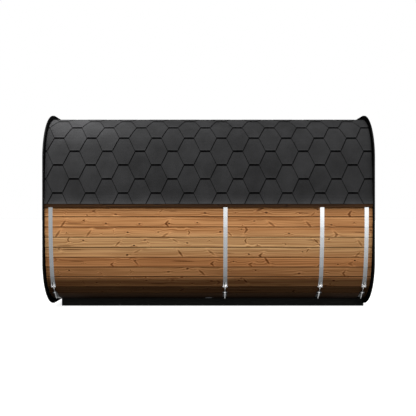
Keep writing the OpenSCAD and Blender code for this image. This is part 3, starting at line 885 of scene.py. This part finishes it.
def screw_places():
    """Y and Z of a ring's near screws: one in the middle of the end of each stave but the
    closing one and the roof's middle one."""
    upper = JOINT_DROP + STAVE_W * (np.arange(-STAVES_ABOVE, STAVES_TO_CLOSING) + 0.5)
    lower = (JOINT_DROP + STAVE_W * (np.arange(STAVES_TO_CLOSING, STAVES_BELOW) + 0.5)
             + CLOSING_W)
    floor = MIDDLE_GIRTH - FLOOR_STAVE_W * (np.arange(FLOOR_STAVES // 2) + 0.5)
    roof = -MIDDLE_GIRTH + ROOF_STAVE_W * np.arange(1, ROOF_STAVES // 2 + 1)
    down = np.concatenate([upper, lower, floor, roof])
    y, z, way = shell_face(np.abs(down))
    y = y + SCREW_DEPTH * np.cos(way)
    z = z - SCREW_DEPTH * np.sin(way)
    return y, np.where(down > 0, 2 * MIDDLE_Z - z, z)


def ring_screws():
    """Pan-headed screws with a round recess, along the outer faces of both end rings."""
    shape = turned(SCREW_HEAD, 12)
    near_y, near_z = screw_places()
    places = list(zip(near_y, near_z)) + list(zip(-near_y, near_z))
    places.append((0.0, MIDDLE_Z + SHELL_HALF - SCREW_DEPTH))
    return [placed(shape, (end * RING_FACE, y, z), (end, 0, 0), (0, 1, 0))
            for end in (-1, 1) for y, z in places]


# ---- Door handle ---------------------------------------------------------------------------
POST_R = 0.008
POST_INSET = 0.060                             # from the ends of a bar to its posts


def handle_parts():
    """Round bars with domed ends, and their posts with collars, on both sides of the glass. A
    dome is half an ellipse, half as high as the bar's radius."""
    low, high = corners("door_handle")
    glass_low, glass_high = corners("door_glass")
    y = (low[1] + high[1]) / 2
    radius = (high[1] - low[1]) / 2
    length = high[2] - low[2]
    dome = np.linspace(0.1, math.pi / 2, 7)
    end = np.stack([radius * np.sin(dome), radius * 0.5 * (1 - np.cos(dome))], -1)
    profile = np.concatenate([end, [[radius, length / 2]], end[::-1] * [1, -1] + [0, length]])
    bars, posts = [], []
    for face, way, bar_x in ((glass_high[0], 1, high[0] - radius),
                             (glass_low[0], -1, low[0] + radius)):
        bars.append(placed(turned(profile, 32), (bar_x, y, low[2]), (0, 0, 1)))
        reach = abs(bar_x - face)
        post = [(POST_R * 1.6, 0), (POST_R * 1.6, 0.004), (POST_R, 0.006),
                (POST_R, reach - radius * 0.9)]
        for z in (low[2] + POST_INSET, high[2] - POST_INSET):
            posts.append(placed(turned(post, 24), (face, y, z), (way, 0, 0), (0, 1, 0)))
    return bars, posts


# ---- Finishes of the pieces ----------------------------------------------------------------
TREATED_WOOD = ("#c49160", "#8f5f38", "#3a1d0f")
FRAME_WOOD = ("#a87a4c", "#7c5230", "#3e1f10")
BATTEN_WOOD = ("#3f2a18", "#22160d", "#140c08")
stave_wood = timber("heat_treated_staves", shell_boards, TREATED_WOOD, painted_shade_and_bleach=True)
floor_wood = timber("heat_treated_floor", level_boards(FLOOR_STAVE_W, FLOOR_STAVES), TREATED_WOOD,
                    painted_shade_and_bleach=True)
roof_wood = timber("heat_treated_roof", level_boards(ROOF_STAVE_W, ROOF_STAVES), TREATED_WOOD)
wall_wood = timber("heat_treated_walls", wall_boards, TREATED_WOOD)
jamb_wood = timber("door_wood_jambs", whole_piece(2, 211, "door_jamb_handle_side"), FRAME_WOOD,
                   knotty=0.3)
head_wood = timber("door_wood_head", whole_piece(1, 212, "door_head"), FRAME_WOOD, knotty=0.3)
sill_wood = timber("door_wood_threshold", whole_piece(1, 214, "door_threshold"), FRAME_WOOD,
                   knotty=0.3)
handle_wood = timber("door_wood_handle", whole_piece(2, 211, "door_handle"), FRAME_WOOD,
                     knotty=0.3)
batten_wood = timber("stained_batten", whole_piece(0, 213, "eaves_batten_near"), BATTEN_WOOD,
                     knotty=0.5)
# the rings' last colour, for their faces along the building, is painted shade
black_ring = black_paint("black_ring", "#262626", "#2e2e2e", (240.0, 240.0, 240.0), "#0a0a0a")
black_base = black_paint("black_base_timber", "#40403e", "#4c4b49", (9.0, 150.0, 150.0))
black_bearer = black_paint("black_bearer", "#40403e", "#4c4b49", (150.0, 9.0, 150.0))
strap_steel = brushed_steel("strap_steel", "#a6a8a9", "#9a9c9d", 1500.0, 6.0, marks=strap_highlights_and_shade)
bolt_steel = brushed_steel("bolt_steel", "#e4e5e6", "#c6c7c8", 300.0, 300.0, marks=bolt_darkening)
hinge_steel = brushed_steel("hinge_steel", "#b4b6b7", "#9b9d9e", 60.0, 1200.0)
plate_zinc = zinc("galvanised_plate")
screw_steel = brushed_steel("black_screw", "#2e2e2f", "#1c1c1d", 300.0, 300.0, 0.35)
door_pane = tinted_glass("tinted_glass")
tab_grit = shingle_grit("shingle_grit", "#202020", "#373738", True)
sheet_grit = shingle_grit("shingle_sheet", "#121212", "#242425", False)

NODE_FINISHES = {
    stave_wood: ["staves_near_side", "staves_far_side", "staves_near_lower_corner",
                 "staves_far_lower_corner", "staves_near_upper_corner",
                 "staves_far_upper_corner"],
    floor_wood: ["staves_floor"],
    roof_wood: ["staves_roof"],
    wall_wood: ["back_wall", "front_wall_near", "front_wall_far", "front_wall_head",
                "front_wall_sill"],
    jamb_wood: ["door_jamb_hinge_side", "door_jamb_handle_side"],
    head_wood: ["door_head"],
    sill_wood: ["door_threshold"],
    batten_wood: ["eaves_batten_near", "eaves_batten_far"],
    black_ring: ["end_ring_front", "end_ring_back"],
    black_base: ["base_beam_near", "base_beam_far"],
    black_bearer: ["base_bearers"],
    strap_steel: list(STRAPS),
    bolt_steel: ["cross_pins_near", "cross_pins_far"],
    hinge_steel: ["door_hinges"],
    plate_zinc: ["base_fixing_plates"],
    door_pane: ["door_glass"],
}


def finish_nodes():
    """Gives each CAD node that stays its finish."""
    for finish, nodes in NODE_FINISHES.items():
        for node in nodes:
            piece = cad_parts[node]
            if not piece.material_slots:
                piece.data.materials.append(None)
            for slot in piece.material_slots:
                slot.material = finish.material


def add_pieces():
    """Adds what the CAD model leaves to this script."""
    sheet = add_piece("shingle_underlay", sheet_grit, underlay())
    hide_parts("shingles_roof")
    for side, word, seed in ((-1, "near", 11), (1, "far", 12)):
        parts, uvs, tones = shingle_tabs(side, seed)
        tabs = add_piece(f"shingle_tabs_{word}", tab_grit, parts, uvs=uvs,
                         tones=tones)
        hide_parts(f"shingles_{word}_side", f"shingles_{word}_corner")
        node = f"tension_bolts_{word}"
        bolts = add_piece(f"threaded_bolts_{word}", bolt_steel,
                          tension_bolts(node))
        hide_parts(node)
    parts, uvs, tones = ridge_caps(13)
    add_piece("ridge_caps", tab_grit, parts, uvs=uvs, tones=tones)
    add_piece("ring_screws", screw_steel, ring_screws())
    bars, posts = handle_parts()
    bar = add_piece("door_handle_bars", handle_wood, bars, smooth=True)
    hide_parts("door_handle")
    add_piece("door_handle_posts", hinge_steel, posts)


# ---- Stage ---------------------------------------------------------------------------------
class Surround(Finish):
    """The nodes of the world or of the floor, which have no Principled shader."""

    def __init__(self, tree):
        self.tree = tree
        tree.nodes.clear()

    def seen(self):
        """1 for what the camera sees directly, in a mirror or through glass, else 0."""
        path = self.node("LightPath", out="Is Camera Ray")
        mirror = path.other("Is Glossy Ray")
        glass = path.other("Is Transmission Ray")
        return path.of("MAXIMUM", mirror).of("MAXIMUM", glass)


WHITE = (1.0, 1.0, 1.0, 1.0)
AMBIENT = 0.26                                 # strength of the soft light from all round
FLOOR_GLOW = 0.86                              # how bright the floor is in full shadow
FLOOR_WHITE = 0.32                             # how pale it is to the camera
FLOOR_BOUNCE = 0.03                            # how pale it is to the light
MIRROR_DIM, MIRROR_BRIGHT = 0.1, 2.6           # range of the floor's glow, as steel shows it
MIRROR_LEVEL = 0.786                           # that glow a metre from the building
MIRROR_NEAR = 0.33                             # the distance from which it grows
MIRROR_SLOPE = 0.286                           # its growth up to a metre


def grey(level):
    return (level, level, level, 1.0)


def white_world():
    """White where it is seen, and a dimmer white as soft light from all round."""
    world = bpy.data.worlds.new("studio")
    world.use_nodes = True
    bpy.context.scene.world = world
    s = Surround(world.node_tree)
    colour = s.blend(s.seen(), grey(AMBIENT), WHITE)
    glow = s.node("Background", inputs={"Color": colour})
    s.add("OutputWorld", inputs={"Surface": glow})


def mirrored_floor(s):
    """The floor as steel shows it: dim under the building, where its shadow lies, and brighter
    with the logarithm of the distance from its sides, past a metre most of all at the porch's
    end."""
    x, y, _ = s.place()
    away = (abs(y) - SHELL_HALF).of("MAXIMUM", abs(x) - RING_FACE)
    growth = away.of("MAXIMUM", MIRROR_NEAR).of("LOGARITHM", math.e)
    slope = s.ease(x, -3.0, 4.0, 0.08, 0.56)
    level = growth.of("MAXIMUM", 0) * slope + growth.of("MINIMUM", 0) * MIRROR_SLOPE
    level = level + MIRROR_LEVEL
    level = level * s.ease(away, -0.50, -0.35, 0.2, 1.0)
    share = (level - MIRROR_DIM) / (MIRROR_BRIGHT - MIRROR_DIM)
    dim = s.node("Emission", inputs={"Color": WHITE, "Strength": MIRROR_DIM})
    bright = s.node("Emission", inputs={"Color": WHITE, "Strength": MIRROR_BRIGHT})
    return s.node("MixShader", inputs=(share, dim, bright))


def white_floor():
    """A pale floor that looks white, keeps the shadow, and throws little light back up."""
    mesh = bpy.data.meshes.new("floor")
    reach = 60.0
    square = [(-reach, -reach, 0), (reach, -reach, 0), (reach, reach, 0), (-reach, reach, 0)]
    mesh.from_pydata(square, [], [(0, 1, 2, 3)])
    floor = bpy.data.objects.new("floor", mesh)
    bpy.context.scene.collection.objects.link(floor)
    material = bpy.data.materials.new("pale_floor")
    material.use_nodes = True
    mesh.materials.append(material)
    s = Surround(material.node_tree)
    dim = s.node("BsdfDiffuse", inputs={"Color": grey(FLOOR_BOUNCE)})
    pale = s.node("BsdfDiffuse", inputs={"Color": grey(FLOOR_WHITE)})
    glow = s.node("Emission", inputs={"Color": WHITE, "Strength": FLOOR_GLOW})
    bright = s.node("AddShader", inputs=(pale, glow))
    surface = s.node("MixShader", inputs=(s.seen(), dim, bright))
    mirror = s.node("LightPath", out="Is Glossy Ray")
    surface = s.node("MixShader", inputs=(mirror, surface, mirrored_floor(s)))
    s.add("OutputMaterial", inputs={"Surface": surface})


def aimed(lamp, source, target):
    """A lamp at its source, tilted from straight down about X and then turned about Z, so that
    it looks at its target."""
    piece = bpy.data.objects.new(lamp.name, lamp)
    bpy.context.scene.collection.objects.link(piece)
    to = np.array(target, float) - np.array(source, float)
    piece.location = source
    piece.rotation_euler = (math.acos(-to[2] / np.linalg.norm(to)), 0.0,
                            math.atan2(-to[0], to[1]))
    return piece


def sun(name, azimuth, elevation, strength, spread):
    """A distant lamp. Azimuth is measured from the camera's side towards +X."""
    lamp = bpy.data.lights.new(name, "SUN")
    lamp.energy = strength
    lamp.angle = math.radians(spread)
    a, e = math.radians(azimuth), math.radians(elevation)
    way = np.array([math.sin(a) * math.cos(e), -math.cos(a) * math.cos(e), math.sin(e)])
    return aimed(lamp, way * 20, (0, 0, 0))


def panel(name, source, target, width, height, radiance):
    """A rectangular lamp of even brightness."""
    lamp = bpy.data.lights.new(name, "AREA")
    lamp.shape = "RECTANGLE"
    lamp.size, lamp.size_y = width, height
    lamp.energy = radiance * width * height * math.pi
    piece = aimed(lamp, source, target)
    piece.visible_camera = False
    return piece


PANEL_Y, PANEL_TOP = -9.6, 3.6


def lamps():
    """Broad suns from the front, the sides and the back. Two large panels behind the camera
    light the steel alone, and two small ones over the roof's back end light what is dull."""
    sun("key", 0, 53, 4.55, 50)
    sun("left_fill", -80, 30, 0.5, 40)
    sun("right_fill", 80, 30, 0.9, 40)
    sun("back", 170, 25, 0.9, 30)
    for name, start, end, low, glow in (("middle_panel", -0.6, 1.7, 1.15, 2.1),
                                        ("right_panel", 1.7, 6.0, 1.0, 2.4)):
        x, z = (start + end) / 2, (low + PANEL_TOP) / 2
        glint = panel(name, (x, PANEL_Y, z), (x, 0, z), end - start, PANEL_TOP - low, glow)
        glint.visible_diffuse = False
    for name, y, z, glow in (("ridge_panel", -0.8, 3.15, 14.0), ("roof_panel", -1.6, 3.2, 20.0)):
        sheen = panel(name, (-1.8, y, z), (-1.79, y + 0.01, 2.0), 0.6, 0.6, glow)
        sheen.visible_glossy = False


def camera():
    """Level, at the height of the rings' centre, square to the near side."""
    data = bpy.data.cameras.new("camera")
    data.sensor_width = 36.0
    data.lens = 53.64
    data.shift_x = -0.00145
    data.shift_y = 0.00308
    piece = bpy.data.objects.new("camera", data)
    bpy.context.scene.collection.objects.link(piece)
    piece.location = (0.0, -8.652, MIDDLE_Z)
    piece.rotation_euler = (math.pi / 2, 0.0, 0.0)
    bpy.context.scene.camera = piece
    bpy.context.scene.view_settings.view_transform = "Standard"


finish_nodes()
add_pieces()
white_world()
white_floor()
lamps()
camera()
